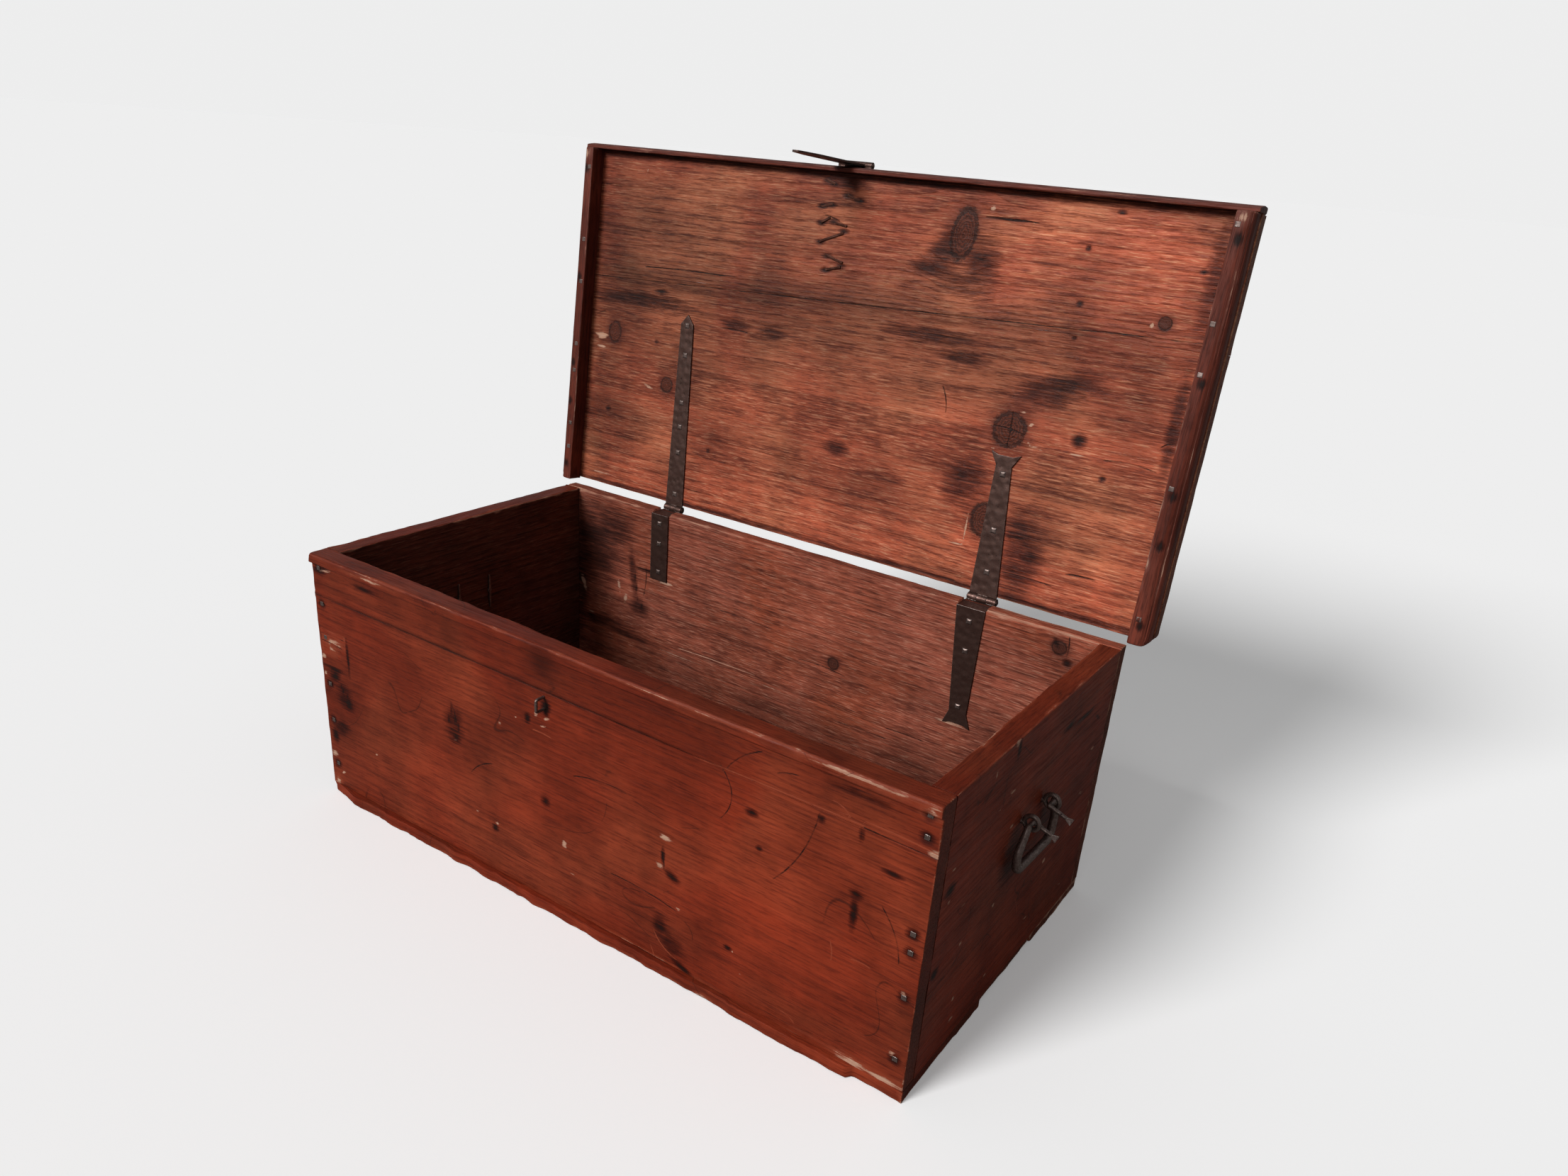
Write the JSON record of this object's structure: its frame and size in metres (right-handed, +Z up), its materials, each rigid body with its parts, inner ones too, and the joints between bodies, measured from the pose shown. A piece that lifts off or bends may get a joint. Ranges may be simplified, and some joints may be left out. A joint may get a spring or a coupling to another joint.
{
  "type": "travel trunk",
  "caption": "Flat-lidded wooden travel trunk with strap hinges, a hasp and staple and drop handles, standing with its lid open.",
  "frame": {"origin": "middle of the floor planks' underside, under the middle of the box", "axes": "+X along the trunk to its right-hand end, +Y from the front to the hinged back, +Z up"},
  "size_m": [1.0356, 0.6114, 0.9045],
  "materials": {
    "stained_pine_outside": "red-brown stained pine, planed, worn at the edges",
    "bare_pine": "sawn pine, darkened by age",
    "lid_pine": "planed pine with a thin red-brown finish",
    "stained_pine_trim": "dark stained pine battens",
    "wrought_iron": "hammered wrought iron, dark and a little rusty"
  },
  "bodies": {
    "box": {"front_upper_board": "stained_pine_outside", "front_lower_board": "stained_pine_outside", "front_patch": "stained_pine_outside", "left_end_board": "stained_pine_outside", "right_end_board": "stained_pine_outside", "back_board": "bare_pine", "front_plank": "bare_pine", "middle_plank": "bare_pine", "rear_plank": "bare_pine", "front_corner_nails": "wrought_iron", "back_corner_nails": "wrought_iron", "floor_nails": "wrought_iron", "left_hinge_pin": "wrought_iron", "right_hinge_pin": "wrought_iron", "box_leaf_nails": "wrought_iron", "hasp_staple": "wrought_iron", "left_box_leaf": "wrought_iron", "right_box_leaf": "wrought_iron", "right_handle_front_eye": "wrought_iron", "right_handle_back_eye": "wrought_iron", "left_handle_front_eye": "wrought_iron", "left_handle_back_eye": "wrought_iron"},
    "lid": {"lid_rear_board": "lid_pine", "lid_front_board": "lid_pine", "left_cleat": "stained_pine_trim", "right_cleat": "stained_pine_trim", "front_lip": "stained_pine_trim", "lid_strap_nails": "wrought_iron", "cleat_nails": "wrought_iron", "lip_nails": "wrought_iron", "hasp_pin": "wrought_iron", "hasp_strap_nails": "wrought_iron", "left_lid_strap": "wrought_iron", "right_lid_strap": "wrought_iron", "hasp_strap": "wrought_iron"},
    "hasp": {"hasp_plate": "wrought_iron"},
    "handle_left": {"left_handle_bail": "wrought_iron"},
    "handle_right": {"right_handle_bail": "wrought_iron"}
  },
  "joints": [
    {"name": "lid_hinge", "type": "hinge", "parent": "box", "child": "lid", "pos_m": [0, 0.2595, 0.3695], "axis": [1, 0, 0], "range_deg": [0, 96.5]},
    {"name": "hasp_hinge", "type": "hinge", "parent": "lid", "child": "hasp", "pos_m": [-0.043, 0.34412, 0.89138], "axis": [-1, 0, 0], "range_deg": [-4.8, 255]},
    {"name": "left_handle_hinge", "type": "hinge", "parent": "box", "child": "handle_left", "pos_m": [-0.4867, 0, 0.24565], "axis": [0, 1, 0], "range_deg": [0, 100]},
    {"name": "right_handle_hinge", "type": "hinge", "parent": "box", "child": "handle_right", "pos_m": [0.4867, 0, 0.24565], "axis": [0, -1, 0], "range_deg": [0, 100]}
  ]
}
